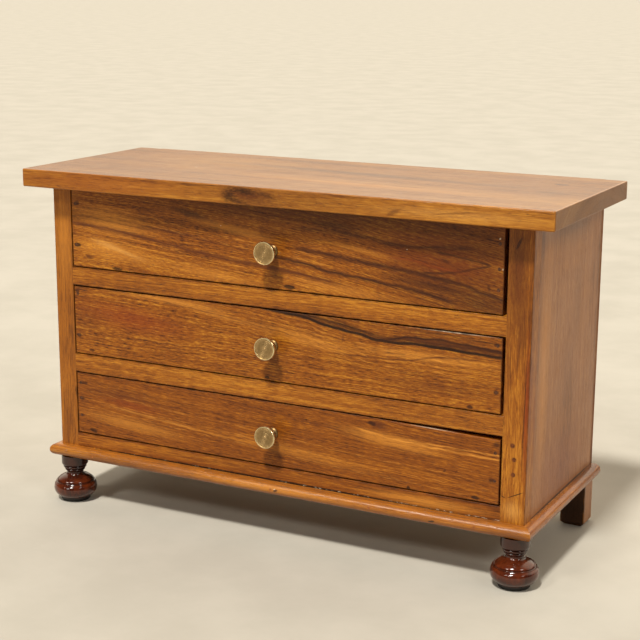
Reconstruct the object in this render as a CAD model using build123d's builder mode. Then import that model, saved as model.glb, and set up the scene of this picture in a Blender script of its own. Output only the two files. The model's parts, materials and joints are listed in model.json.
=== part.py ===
from build123d import *
import os

# Miniature three-drawer chest in walnut, on two turned front feet and two square rear feet.
# Millimetres. +X is to the viewer's right, the front faces -Y and +Z is up.
# The origin is on the floor under the middle of the whole chest.

os.makedirs("parts", exist_ok=True)

# Carcass
carcass_width = 460.0
carcass_depth = 180.0
foot_height = 43.5
top_thickness = 16.0
top_side_overhang = 21.2
top_front_overhang = 17.5
side_thickness = 14.0
back_thickness = 6.5
back_below_top = 0.8
stile_depth = 16.0
left_stile_width = 19.0
right_stile_width = 21.0

# Heights of the rails and drawer openings, from the feet up
moulding_height = 11.0
moulding_depth = 8.5
bottom_rail_height = 24.0
lower_opening = 59.5
lower_divider_height = 17.0
middle_opening = 65.0
upper_divider_height = 16.5
upper_opening = 73.5

bottom_board_thickness = 10.0
bottom_board_housing = 4.0
divider_depth = 38.0
tenon_length = 5.0
tenon_thickness = 8.0
tenon_shoulder = 3.0

# Drawer furniture inside the carcass
runner_height = 12.0
runner_width = 16.0
guide_height = 12.0
cleat_size = 13.0
cleat_front_gap = 24.0
cleat_back_gap = 14.0
stop_length = 30.0
stop_width = 14.0
stop_height = 4.5
stop_spacing = 240.0

# Drawers
front_recess = 0.5
front_thickness = 12.0
drawer_length = 164.0
drawer_side_thickness = 8.0
drawer_back_thickness = 7.0
drawer_back_setback = 2.0
drawer_bottom_thickness = 4.0
groove_height = 5.0
side_groove_depth = 3.0
front_groove_depth = 4.0
running_gap = 0.4
front_gap_below = 0.9
left_gap = 0.6

# Knobs
knob_x = -1.8
knob_projection = 16.0
knob_radius = 10.0
knob_screw_radius = 1.5
knob_screw_grip = 7.0
knob_screw_head_radius = 3.2
knob_screw_head_height = 2.0
screw_slot_size = 0.8
knob_dish_depth = 0.6

# Fastenings
nail_shank_radius = 0.8
nail_head_radius = 1.4
nail_head_thickness = 0.8
screw_shank_radius = 1.6
screw_head_radius = 3.2
screw_head_depth = 1.8
dowel_radius = 3.0
dowel_reach = 18.0
plug_radius = 1.7
plug_depth = 6.0

# Feet
front_foot_x = {"left": -220.0, "right": 221.2}
front_foot_setback = 5.5
rear_foot_size = 22.0
rear_foot_proud = 1.5
rear_foot_chamfer = 2.6

# Positions worked out from the sizes above
half_width = carcass_width / 2
overall_depth = carcass_depth + top_front_overhang
back_y = overall_depth / 2
front_y = back_y - carcass_depth
panel_back_y = back_y - back_thickness
rear_foot_outer_x = half_width + rear_foot_proud
stile_back_y = front_y + stile_depth
divider_back_y = front_y + divider_depth
side_inner_x = half_width - side_thickness
opening_left = -half_width + left_stile_width
opening_right = half_width - right_stile_width

base_z = foot_height
moulding_top = base_z + moulding_height
lower_floor = base_z + bottom_rail_height
lower_ceiling = lower_floor + lower_opening
middle_floor = lower_ceiling + lower_divider_height
middle_ceiling = middle_floor + middle_opening
upper_floor = middle_ceiling + upper_divider_height
carcass_top = upper_floor + upper_opening
chest_top = carcass_top + top_thickness

front_face_y = front_y + front_recess
front_inner_y = front_face_y + front_thickness
drawer_back_y = front_y + drawer_length


def block(x_span, y_span, z_span, mode=Mode.ADD):
    """A square-cut board between two corners."""
    with BuildSketch(Plane.XY.offset(z_span[0])) as outline:
        with Locations(((x_span[0] + x_span[1]) / 2, (y_span[0] + y_span[1]) / 2)):
            Rectangle(x_span[1] - x_span[0], y_span[1] - y_span[0])
    extrude(outline.sketch, amount=z_span[1] - z_span[0], mode=mode)


def discs(face, points, radius, depth, mode=Mode.ADD):
    """Round pieces or holes that run from a face plane into the wood behind it."""
    with BuildSketch(face) as circles:
        with Locations(*points):
            Circle(radius)
    extrude(circles.sketch, amount=-depth, mode=mode)


def nails(face, points, length):
    """Nails driven square to a face plane, with their heads flush."""
    discs(face, points, nail_head_radius, nail_head_thickness)
    discs(face, points, nail_shank_radius, length)


def countersunk_screws(face, points, length):
    """Wood screws driven square to a face plane, with their heads flush."""
    with BuildSketch(face) as heads:
        with Locations(*points):
            Circle(screw_head_radius)
    head_slope = 38
    extrude(heads.sketch, amount=-screw_head_depth, taper=head_slope)
    discs(face, points, screw_shank_radius, length)


def finish_piece(piece, label):
    piece.part.label = label
    export_step(piece.part, f"parts/{label}.step")


def front_plane(y):
    """Plane across the chest at depth y: its x is +X, its y is +Z, and it faces the front."""
    return Plane.XZ.offset(-y)


def back_plane(y):
    """The same plane turned to face the back: its x is -X."""
    return Plane(origin=(0, y, 0), x_dir=(-1, 0, 0), z_dir=(0, 1, 0))


def side_plane(x, facing):
    """Plane along the chest at x, facing +X or -X: its x is +Y or -Y, and its y is +Z."""
    return Plane(origin=(x, 0, 0), x_dir=(0, facing, 0), z_dir=(facing, 0, 0))


def under_plane(z):
    """Plane that faces the floor at height z: its x is +X, and its y is -Y."""
    return Plane(origin=(0, 0, z), x_dir=(1, 0, 0), z_dir=(0, 0, -1))


# ---------------------------------------------------------------- fastenings of the carcass

sides = {"left": -1, "right": 1}

dowel_x = half_width - side_thickness / 2
dowel_y = back_y - 13.0
with BuildPart() as rear_foot_dowels:
    discs(
        under_plane(foot_height - dowel_reach),
        [(-dowel_x, -dowel_y), (dowel_x, -dowel_y)],
        dowel_radius,
        2 * dowel_reach,
    )
finish_piece(rear_foot_dowels, "rear_foot_dowels")

back_nail_length = 20.0
nail_rows = 6
nail_pitch = (carcass_top - lower_floor) / (nail_rows - 1)
side_nail_x = half_width - side_thickness / 2
back_nail_points = [
    (side * side_nail_x, lower_floor + row * nail_pitch)
    for side in sides.values()
    for row in range(nail_rows)
]
cross_nail_spacing = 90.0
cross_nail_columns = [cross_nail_spacing * (column - 2) for column in range(5)]
top_nail_z = carcass_top + top_thickness / 2
board_nail_z = lower_floor - bottom_board_thickness / 2
for column_x in cross_nail_columns:
    back_nail_points.append((column_x, top_nail_z))
    back_nail_points.append((column_x, board_nail_z))
with BuildPart() as back_panel_nails:
    nails(back_plane(back_y), back_nail_points, back_nail_length)
finish_piece(back_panel_nails, "back_panel_nails")

pin_length = 20.0
pin_z = base_z + moulding_height / 2
front_pin_spacing = 95.0
front_pins = [(front_pin_spacing * (column - 2), pin_z) for column in range(5)]
side_pin_setbacks = [30.0, 95.0, 160.0]
with BuildPart() as base_moulding_pins:
    nails(front_plane(front_y - moulding_depth), front_pins, pin_length)
    for facing in sides.values():
        side_pins = [(facing * (front_y + setback), pin_z) for setback in side_pin_setbacks]
        nails(side_plane(facing * (half_width + moulding_depth), facing), side_pins, pin_length)
finish_piece(base_moulding_pins, "base_moulding_pins")

cleat_screw_length = 23.0
cleat_underside = carcass_top - cleat_size
cleat_screw_x = side_inner_x - cleat_size / 2
cleat_screw_spacing = 55.0
cleat_middle_y = (front_y + cleat_front_gap + back_y - cleat_back_gap) / 2
cleat_screw_points = [
    (side * cleat_screw_x, -(cleat_middle_y + cleat_screw_spacing * place))
    for side in sides.values()
    for place in (-1, 0, 1)
]
with BuildPart() as top_cleat_screws:
    countersunk_screws(under_plane(cleat_underside), cleat_screw_points, cleat_screw_length)
finish_piece(top_cleat_screws, "top_cleat_screws")

runner_screw_length = 24.0
runner_screw_ys = [divider_back_y + 25.0, panel_back_y - 25.0]
runner_floors = {"upper": upper_floor, "middle": middle_floor}
with BuildPart() as runner_screws:
    for facing in sides.values():
        points = [
            (-facing * y, floor - runner_height / 2)
            for floor in runner_floors.values()
            for y in runner_screw_ys
        ]
        inner_face = side_plane(facing * (side_inner_x - runner_width), -facing)
        countersunk_screws(inner_face, points, runner_screw_length)
finish_piece(runner_screws, "runner_screws")

# Three old screw holes in the right stile, stopped with wooden plugs
plug_points = [(217.7, 120.6), (219.4, 109.1), (219.0, 96.3)]
with BuildPart() as stile_plugs:
    discs(front_plane(front_y), plug_points, plug_radius, plug_depth)
finish_piece(stile_plugs, "stile_plugs")

# ---------------------------------------------------------------- top, sides and back

top_arris = 1.2
left_corner_round = 2.6
right_corner_round = 2.0
with BuildPart() as top_board:
    block(
        (-half_width - top_side_overhang, half_width + top_side_overhang),
        (front_y - top_front_overhang, panel_back_y),
        (carcass_top, chest_top),
    )
    front_corners = top_board.edges().filter_by(Axis.Z).group_by(Axis.Y)[0].sort_by(Axis.X)
    fillet(front_corners[0], left_corner_round)
    front_corners = top_board.edges().filter_by(Axis.Z).group_by(Axis.Y)[0].sort_by(Axis.X)
    fillet(front_corners[-1], right_corner_round)
    fillet(top_board.faces().sort_by(Axis.Z)[-1].edges(), top_arris)
    fillet(top_board.faces().sort_by(Axis.Z)[0].edges(), top_arris)
    add(top_cleat_screws.part, mode=Mode.SUBTRACT)
    add(back_panel_nails.part, mode=Mode.SUBTRACT)
finish_piece(top_board, "top_board")

board_front_y = stile_back_y
for side, sign in sides.items():
    outer_x = sign * half_width
    inner_x = sign * side_inner_x
    housing_x = sign * (side_inner_x + bottom_board_housing)
    with BuildPart() as side_panel:
        block(sorted((outer_x, inner_x)), (stile_back_y, panel_back_y), (base_z, carcass_top))
        block(
            sorted((inner_x, housing_x)),
            (board_front_y, panel_back_y),
            (lower_floor - bottom_board_thickness, lower_floor),
            mode=Mode.SUBTRACT,
        )
        for fastening in (rear_foot_dowels, back_panel_nails, base_moulding_pins, runner_screws):
            add(fastening.part, mode=Mode.SUBTRACT)
    finish_piece(side_panel, f"{side}_side_panel")

with BuildPart() as back_panel:
    block((-half_width, half_width), (panel_back_y, back_y), (base_z, chest_top - back_below_top))
    fillet(back_panel.faces().sort_by(Axis.Y)[-1].edges(), 0.6)
    add(back_panel_nails.part, mode=Mode.SUBTRACT)
finish_piece(back_panel, "back_panel")

# ---------------------------------------------------------------- face frame and bottom

stile_edges = {"left": (-half_width, opening_left), "right": (opening_right, half_width)}
rail_spans = {
    "upper_divider_rail": (middle_ceiling, upper_floor),
    "lower_divider_rail": (lower_ceiling, middle_floor),
    "bottom_rail": (base_z, lower_floor),
}
tenon_front_y = front_y + (stile_depth - tenon_thickness) / 2
tenon_y_span = (tenon_front_y, tenon_front_y + tenon_thickness)
stile_arris = 0.8
for side, (inside, outside) in stile_edges.items():
    sign = sides[side]
    opening_x = max(inside, outside, key=lambda x: -sign * x)
    outer_edge = -1 if sign > 0 else 0
    with BuildPart() as stile:
        block((inside, outside), (front_y, stile_back_y), (base_z, carcass_top))
        front_arrises = stile.faces().sort_by(Axis.Y)[0].edges().filter_by(Axis.Z)
        fillet(front_arrises.sort_by(Axis.X)[outer_edge], stile_arris)
        for rail_bottom, rail_top in rail_spans.values():
            block(
                sorted((opening_x, opening_x + sign * tenon_length)),
                tenon_y_span,
                (rail_bottom + tenon_shoulder, rail_top - tenon_shoulder),
                mode=Mode.SUBTRACT,
            )
        discs(
            under_plane(base_z),
            [(front_foot_x[side], -(front_y + front_foot_setback))],
            dowel_radius,
            dowel_reach,
            mode=Mode.SUBTRACT,
        )
        if side == "right":
            add(stile_plugs.part, mode=Mode.SUBTRACT)
    finish_piece(stile, f"{side}_front_stile")

rail_arris = 0.5
for label, (rail_bottom, rail_top) in rail_spans.items():
    with BuildPart() as rail:
        block((opening_left, opening_right), (front_y, stile_back_y), (rail_bottom, rail_top))
        face_edges = rail.faces().sort_by(Axis.Y)[0].edges().filter_by(Axis.X)
        fillet(face_edges, rail_arris)
        block(
            (opening_left - tenon_length, opening_right + tenon_length),
            tenon_y_span,
            (rail_bottom + tenon_shoulder, rail_top - tenon_shoulder),
        )
        if label == "bottom_rail":
            add(base_moulding_pins.part, mode=Mode.SUBTRACT)
        else:
            block((-side_inner_x, side_inner_x), (stile_back_y, divider_back_y), (rail_bottom, rail_top))
    finish_piece(rail, label)

bottom_board_half = side_inner_x + bottom_board_housing
with BuildPart() as bottom_board:
    block(
        (-bottom_board_half, bottom_board_half),
        (board_front_y, panel_back_y),
        (lower_floor - bottom_board_thickness, lower_floor),
    )
    add(back_panel_nails.part, mode=Mode.SUBTRACT)
finish_piece(bottom_board, "bottom_board")

# ---------------------------------------------------------------- base moulding, mitred at the front


def half_round(plane, face, outward):
    """Half-round moulding section: a flat back at face, and a round nose moulding_depth out."""
    nose_start = face + outward * (moulding_depth - moulding_height / 2)
    nose_tip = face + outward * moulding_depth
    with BuildSketch(plane) as section:
        with BuildLine():
            Polyline((nose_start, base_z), (face, base_z), (face, moulding_top), (nose_start, moulding_top))
            ThreePointArc((nose_start, moulding_top), (nose_tip, pin_z), (nose_start, base_z))
        make_face()
    return section.sketch


def mitre_plane(sign):
    """Upright plane through a front corner of the carcass, whose normal points to the side strip."""
    return Plane(origin=(sign * half_width, front_y, 0), z_dir=(sign, 1, 0))


with BuildPart() as front_base_moulding:
    extrude(half_round(Plane.YZ, front_y, -1), amount=half_width + moulding_depth, both=True)
    for sign in sides.values():
        split(bisect_by=mitre_plane(sign), keep=Keep.BOTTOM)
    add(base_moulding_pins.part, mode=Mode.SUBTRACT)
finish_piece(front_base_moulding, "front_base_moulding")

for side, sign in sides.items():
    with BuildPart() as side_moulding:
        strip_length = back_y - front_y + moulding_depth
        section = half_round(front_plane(back_y), sign * half_width, sign)
        extrude(section, amount=strip_length)
        split(bisect_by=mitre_plane(sign), keep=Keep.TOP)
        add(base_moulding_pins.part, mode=Mode.SUBTRACT)
    finish_piece(side_moulding, f"{side}_base_moulding")

# ---------------------------------------------------------------- feet

pad_radius = 14.4
bun_radius = 20.2
neck_radius = 7.8
collar_radius = 12.4
for side, sign in sides.items():
    foot_origin = (front_foot_x[side], front_y + front_foot_setback, 0)
    with BuildPart() as turned_foot:
        with BuildSketch(Plane(origin=foot_origin, x_dir=(1, 0, 0), z_dir=(0, -1, 0))):
            with BuildLine():
                Line((0, 0), (pad_radius - 1.2, 0))
                Line((pad_radius - 1.2, 0), (pad_radius, 3.8))
                Line((pad_radius, 3.8), (pad_radius + 0.9, 4.2))
                # Bun, with a scribed groove above its widest line
                ThreePointArc((pad_radius + 0.9, 4.2), (18.9, 7.4), (bun_radius, 12.2))
                ThreePointArc((bun_radius, 12.2), (19.6, 15.2), (18.4, 17.8))
                ThreePointArc((18.4, 17.8), (17.2, 18.3), (17.4, 19.3))
                ThreePointArc((17.4, 19.3), (14.5, 21.8), (9.4, 24.3))
                # Neck, then two rings and the collar under the moulding
                ThreePointArc((9.4, 24.3), (neck_radius, 26.3), (8.3, 28.2))
                ThreePointArc((8.3, 28.2), (9.4, 29.4), (8.9, 30.7))
                ThreePointArc((8.9, 30.7), (10.8, 32.0), (10.2, 33.6))
                ThreePointArc((10.2, 33.6), (11.6, 34.2), (collar_radius, 35.6))
                Line((collar_radius, 35.6), (collar_radius, foot_height))
                Line((collar_radius, foot_height), (dowel_radius, foot_height))
                Line((dowel_radius, foot_height), (dowel_radius, foot_height + dowel_reach))
                Line((dowel_radius, foot_height + dowel_reach), (0, foot_height + dowel_reach))
                Line((0, foot_height + dowel_reach), (0, 0))
            make_face()
        revolve(axis=Axis(foot_origin, (0, 0, 1)))
    finish_piece(turned_foot, f"front_{side}_foot")

    with BuildPart() as square_foot:
        block(
            sorted((sign * rear_foot_outer_x, sign * (rear_foot_outer_x - rear_foot_size))),
            (back_y - rear_foot_size, back_y),
            (0, foot_height),
        )
        chamfer(square_foot.faces().sort_by(Axis.Z)[0].edges(), rear_foot_chamfer)
        add(rear_foot_dowels.part, mode=Mode.SUBTRACT)
    finish_piece(square_foot, f"rear_{side}_foot")

# ---------------------------------------------------------------- runners, guides, cleats and stops

opening_edges = {"left": opening_left, "right": opening_right}
for side, sign in sides.items():
    wall_x = sign * side_inner_x
    for level, floor in runner_floors.items():
        with BuildPart() as runner:
            block(
                sorted((wall_x, wall_x - sign * runner_width)),
                (divider_back_y, panel_back_y),
                (floor - runner_height, floor),
            )
            add(runner_screws.part, mode=Mode.SUBTRACT)
        finish_piece(runner, f"{level}_{side}_runner")

    for level, floor in {**runner_floors, "lower": lower_floor}.items():
        with BuildPart() as guide:
            block(
                sorted((wall_x, opening_edges[side])),
                (stile_back_y, panel_back_y),
                (floor, floor + guide_height),
            )
        finish_piece(guide, f"{level}_{side}_guide")

    with BuildPart() as cleat:
        block(
            sorted((wall_x, wall_x - sign * cleat_size)),
            (front_y + cleat_front_gap, back_y - cleat_back_gap),
            (cleat_underside, carcass_top),
        )
        add(top_cleat_screws.part, mode=Mode.SUBTRACT)
    finish_piece(cleat, f"{side}_top_cleat")

with BuildPart() as drawer_stops:
    for floor in (lower_floor, middle_floor, upper_floor):
        for sign in sides.values():
            stop_x = sign * stop_spacing / 2
            block(
                (stop_x - stop_length / 2, stop_x + stop_length / 2),
                (front_inner_y + running_gap, front_inner_y + running_gap + stop_width),
                (floor, floor + stop_height),
            )
finish_piece(drawer_stops, "drawer_stops")

# ---------------------------------------------------------------- drawers

drawers = {
    "upper": {
        "floor": upper_floor,
        "front_top": carcass_top - 1.8,
        "side_top": cleat_underside - 1.5,
        "right_gap": 3.6,
        "knob_z": 259.4,
        "left_nails": [246.5, 284.0],
        "right_nails": [246.0, 262.8, 283.0],
    },
    "middle": {
        "floor": middle_floor,
        "front_top": middle_ceiling - 1.3,
        "side_top": middle_ceiling - 5.0,
        "right_gap": 2.8,
        "knob_z": 176.9,
        "left_nails": [162.1, 201.0],
        "right_nails": [162.6, 201.0],
    },
    "lower": {
        "floor": lower_floor,
        "front_top": lower_ceiling - 1.1,
        "side_top": lower_ceiling - 6.0,
        "right_gap": 1.8,
        "knob_z": 98.3,
        "left_nails": [85.2, 101.7, 116.5],
        "right_nails": [88.3, 112.0],
    },
}
front_arris = 0.7
worn_edge_start = 97.0
worn_edge_drop = 2.8
drawer_nail_length = 24.0
corner_nail_length = 18.0


def knob_profile(plane):
    """Half section of the knob: x is the radius, and y is the distance out from the drawer's face."""
    rim = knob_projection
    face = rim - knob_dish_depth
    with BuildSketch(plane) as profile:
        with BuildLine():
            # Blind hole for the screw, and the stem with a bead, spreading into the disc
            Polyline(
                (0, knob_screw_grip),
                (knob_screw_radius, knob_screw_grip),
                (knob_screw_radius, 0),
                (4.8, 0),
                (4.8, 1.0),
            )
            ThreePointArc((4.8, 1.0), (3.4, 2.6), (3.1, 5.2))
            Line((3.1, 5.2), (5.0, 5.6))
            ThreePointArc((5.0, 5.6), (5.9, 6.8), (5.0, 8.0))
            Line((5.0, 8.0), (3.2, 8.4))
            ThreePointArc((3.2, 8.4), (4.2, 11.6), (8.6, 13.2))
            # Rounded rim round a dished face
            ThreePointArc((8.6, 13.2), (knob_radius, 14.5), (9.6, rim))
            Polyline((9.6, rim), (9.1, rim), (8.8, face))
            ring_start = 8.8
            for ring in (7.4, 5.9, 4.4, 2.9):
                Line((ring_start, face), (ring, face))
                ThreePointArc((ring, face), (ring - 0.2, face - 0.2), (ring - 0.4, face))
                ring_start = ring - 0.4
            # Small flat-topped boss at the centre
            boss_top = face + 0.4
            Polyline((ring_start, face), (1.3, face), (1.0, boss_top), (0, boss_top), (0, knob_screw_grip))
        make_face()
    return profile.sketch


for name, drawer in drawers.items():
    floor = drawer["floor"]
    left_x = opening_left + left_gap
    right_x = opening_right - drawer["right_gap"]
    underside = floor + running_gap
    side_centres = {
        "left": left_x + drawer_side_thickness / 2,
        "right": right_x - drawer_side_thickness / 2,
    }
    bottom_x_span = (
        left_x + drawer_side_thickness - side_groove_depth,
        right_x - drawer_side_thickness + side_groove_depth,
    )
    bottom_z_span = (underside + groove_height, underside + groove_height + drawer_bottom_thickness)
    back_y_span = (
        drawer_back_y - drawer_back_setback - drawer_back_thickness,
        drawer_back_y - drawer_back_setback,
    )
    back_centre_y = sum(back_y_span) / 2
    back_top = drawer["side_top"] - 3.0
    corner_nail_zs = [bottom_z_span[1] + 8.0, back_top - 8.0]

    with BuildPart() as drawer_nails:
        for side, nail_zs in (("left", drawer["left_nails"]), ("right", drawer["right_nails"])):
            points = [(side_centres[side], z) for z in nail_zs]
            nails(front_plane(front_face_y), points, drawer_nail_length)
        for side, face_x in (("left", left_x), ("right", right_x)):
            facing = sides[side]
            points = [(facing * back_centre_y, z) for z in corner_nail_zs]
            nails(side_plane(face_x, facing), points, corner_nail_length)
        bottom_points = [(x, -back_centre_y) for x in (-120.0, 0.0, 120.0)]
        nails(under_plane(bottom_z_span[0]), bottom_points, corner_nail_length)
    finish_piece(drawer_nails, f"{name}_drawer_nails")

    knob_centre = [(knob_x, drawer["knob_z"])]
    screw_head_y = front_inner_y + knob_screw_head_height
    screw_reach = knob_screw_grip + front_thickness + knob_screw_head_height
    with BuildPart() as knob_screw:
        discs(front_plane(front_inner_y), knob_centre, knob_screw_head_radius, knob_screw_head_height)
        fillet(knob_screw.faces().sort_by(Axis.Y)[-1].edges(), 0.9)
        block(
            (knob_x - knob_screw_head_radius, knob_x + knob_screw_head_radius),
            (screw_head_y - screw_slot_size, screw_head_y),
            (drawer["knob_z"] - screw_slot_size / 2, drawer["knob_z"] + screw_slot_size / 2),
            mode=Mode.SUBTRACT,
        )
        discs(
            front_plane(screw_head_y - screw_reach),
            knob_centre,
            knob_screw_radius,
            screw_reach - knob_screw_head_height,
        )
    finish_piece(knob_screw, f"{name}_knob_screw")

    knob_foot = (knob_x, front_face_y, drawer["knob_z"])
    with BuildPart() as knob:
        revolve(
            knob_profile(Plane(origin=knob_foot, x_dir=(1, 0, 0), z_dir=(0, 0, -1))),
            axis=Axis(knob_foot, (0, 1, 0)),
        )
    finish_piece(knob, f"{name}_knob")

    with BuildPart() as drawer_front:
        block(
            (left_x, right_x),
            (front_face_y, front_inner_y),
            (floor + front_gap_below, drawer["front_top"]),
        )
        if name == "lower":
            # The top edge is worn away towards the right-hand end
            with BuildSketch(front_plane(front_face_y)) as worn_edge:
                with BuildLine():
                    Polyline(
                        (worn_edge_start, drawer["front_top"]),
                        (right_x, drawer["front_top"]),
                        (right_x, drawer["front_top"] - worn_edge_drop),
                        close=True,
                    )
                make_face()
            extrude(worn_edge.sketch, amount=-front_thickness, mode=Mode.SUBTRACT)
        fillet(drawer_front.faces().sort_by(Axis.Y)[0].edges(), front_arris)
        block(
            bottom_x_span,
            (front_inner_y - front_groove_depth, front_inner_y),
            bottom_z_span,
            mode=Mode.SUBTRACT,
        )
        for fastening in (drawer_nails, knob_screw):
            add(fastening.part, mode=Mode.SUBTRACT)
    finish_piece(drawer_front, f"{name}_drawer_front")

    for side, outer_x in (("left", left_x), ("right", right_x)):
        inner_x = outer_x - sides[side] * drawer_side_thickness
        with BuildPart() as drawer_side:
            block(
                sorted((outer_x, inner_x)), (front_inner_y, drawer_back_y), (underside, drawer["side_top"])
            )
            block(
                bottom_x_span,
                (front_inner_y, drawer_back_y),
                bottom_z_span,
                mode=Mode.SUBTRACT,
            )
            add(drawer_nails.part, mode=Mode.SUBTRACT)
        finish_piece(drawer_side, f"{name}_drawer_{side}_side")

    with BuildPart() as drawer_back:
        block(
            (left_x + drawer_side_thickness, right_x - drawer_side_thickness),
            back_y_span,
            (bottom_z_span[1], back_top),
        )
        add(drawer_nails.part, mode=Mode.SUBTRACT)
    finish_piece(drawer_back, f"{name}_drawer_back")

    with BuildPart() as drawer_bottom:
        block(bottom_x_span, (front_inner_y - front_groove_depth, drawer_back_y), bottom_z_span)
        add(drawer_nails.part, mode=Mode.SUBTRACT)
    finish_piece(drawer_bottom, f"{name}_drawer_bottom")
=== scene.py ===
import json
import math
from collections import namedtuple

import bpy
from mathutils import Matrix, Vector


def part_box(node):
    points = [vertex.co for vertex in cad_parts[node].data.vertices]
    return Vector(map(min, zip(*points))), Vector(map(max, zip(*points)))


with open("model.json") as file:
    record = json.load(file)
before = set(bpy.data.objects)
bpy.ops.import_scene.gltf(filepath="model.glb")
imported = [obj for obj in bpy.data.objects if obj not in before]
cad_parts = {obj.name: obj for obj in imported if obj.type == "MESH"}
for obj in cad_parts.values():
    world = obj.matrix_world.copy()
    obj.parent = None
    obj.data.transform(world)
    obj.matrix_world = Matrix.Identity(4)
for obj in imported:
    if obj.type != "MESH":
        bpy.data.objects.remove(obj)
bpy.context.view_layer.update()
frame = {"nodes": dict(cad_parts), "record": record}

NODES = frame["nodes"]
# The frame is in metres; the grain and the marks of every board are laid out in millimetres
PER_METRE = 1000.0


# ---------------------------------------------------------------- shader building


class Graph:
    """Short names for adding and wiring shader nodes in one tree."""

    def __init__(self, tree):
        self.tree = tree

    def node(self, kind, **settings):
        made = self.tree.nodes.new(kind)
        for key, value in settings.items():
            setattr(made, key, value)
        return made

    def feed(self, socket, value):
        if isinstance(value, bpy.types.NodeSocket):
            self.tree.links.new(value, socket)
        else:
            socket.default_value = value

    def math(self, operation, a, b=0.0, c=0.0, clamp=False):
        made = self.node("ShaderNodeMath", operation=operation, use_clamp=clamp)
        for socket, value in zip(made.inputs, (a, b, c)):
            self.feed(socket, value)
        return made.outputs[0]

    def add(self, *values):
        total = values[0]
        for value in values[1:]:
            total = self.math("ADD", total, value)
        return total

    def times(self, a, b):
        return self.math("MULTIPLY", a, b)

    def minus(self, a, b):
        return self.math("SUBTRACT", a, b)

    def over(self, a, b):
        return self.math("DIVIDE", a, b)

    def split(self, vector):
        made = self.node("ShaderNodeSeparateXYZ")
        self.feed(made.inputs[0], vector)
        return made.outputs[0], made.outputs[1], made.outputs[2]

    def join(self, x, y, z):
        made = self.node("ShaderNodeCombineXYZ")
        for socket, value in zip(made.inputs, (x, y, z)):
            self.feed(socket, value)
        return made.outputs[0]

    def stretch(self, along, across, through, length, width, depth=None):
        """Noise coordinates whose features measure about length by width by depth, in mm."""
        return self.join(
            self.over(along, length), self.over(across, width), self.over(through, depth or width)
        )

    def noise(self, vector, scale=1.0, detail=2.0, roughness=0.5):
        made = self.node("ShaderNodeTexNoise")
        self.feed(made.inputs["Vector"], vector)
        self.feed(made.inputs["Scale"], scale)
        self.feed(made.inputs["Detail"], detail)
        self.feed(made.inputs["Roughness"], roughness)
        return made.outputs["Fac"]

    def swing(self, vector, detail=2.0, roughness=0.5):
        """Noise about zero instead of one half."""
        return self.minus(self.noise(vector, 1.0, detail, roughness), 0.5)

    def fit(self, value, low, high, to_low=0.0, to_high=1.0):
        """Maps low..high to to_low..to_high along a smooth step, held at both ends."""
        made = self.node("ShaderNodeMapRange", interpolation_type="SMOOTHSTEP")
        for socket, number in zip(made.inputs, (value, low, high, to_low, to_high)):
            self.feed(socket, number)
        return made.outputs[0]

    def mix(self, factor, a, b, blend="MIX"):
        made = self.node("ShaderNodeMix", data_type="RGBA", blend_type=blend)
        self.feed(made.inputs[0], factor)
        self.feed(made.inputs[6], a)
        self.feed(made.inputs[7], b)
        return made.outputs[2]

    def curve(self, value, points, low, high):
        """A drawn line: points are (value, result), results between low and high."""
        first, last = points[0][0], points[-1][0]
        made = self.node("ShaderNodeFloatCurve")
        drawn = made.mapping.curves[0]
        for index, (place, result) in enumerate(points):
            at = ((place - first) / (last - first), (result - low) / (high - low))
            if index in (0, len(points) - 1):
                drawn.points[0 if index == 0 else -1].location = at
            else:
                drawn.points.new(*at)
        made.mapping.update()
        self.feed(made.inputs["Value"], self.over(self.minus(value, first), last - first))
        return self.add(self.times(made.outputs[0], high - low), low)


def rgb(red, green, blue):
    """Linear colour from 0-255 screen values, as a socket takes it."""
    shares = []
    for value in (red, green, blue):
        share = value / 255
        shares.append(share / 12.92 if share <= 0.04045 else ((share + 0.055) / 1.055) ** 2.4)
    return (*shares, 1.0)


def new_material(name):
    material = bpy.data.materials.new(name)
    material.use_nodes = True
    material.node_tree.nodes.clear()
    graph = Graph(material.node_tree)
    shader = graph.node("ShaderNodeBsdfPrincipled")
    output = graph.node("ShaderNodeOutputMaterial")
    material.node_tree.links.new(shader.outputs[0], output.inputs[0])
    return material, graph, shader


def give_relief(graph, shader, height, depth, strength=1.0):
    """Bumps the surface by height, where a height of 1 stands for depth in metres."""
    relief = graph.node("ShaderNodeBump")
    relief.inputs["Strength"].default_value = strength
    relief.inputs["Distance"].default_value = depth
    graph.feed(relief.inputs["Height"], height)
    graph.feed(shader.inputs["Normal"], relief.outputs[0])


def dress(name, material):
    data = NODES[name].data
    data.materials.clear()
    data.materials.append(material)


def make_group(name, inputs, outputs):
    group = bpy.data.node_groups.new(name, "ShaderNodeTree")
    for direction, sockets in (("INPUT", inputs), ("OUTPUT", outputs)):
        for label, kind in sockets:
            group.interface.new_socket(label, in_out=direction, socket_type="NodeSocket" + kind)
    graph = Graph(group)
    return group, graph, graph.node("NodeGroupInput").outputs, graph.node("NodeGroupOutput").inputs


# ---------------------------------------------------------------- wood figure


FLECK_WIDTH = 0.95
PORE_COVER = 0.42
PORE = rgb(38, 16, 8)
# How far along the grain, in mm, a seed of 1 moves a board in the wood it is cut from
SEED_STEP = 977.0


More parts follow.
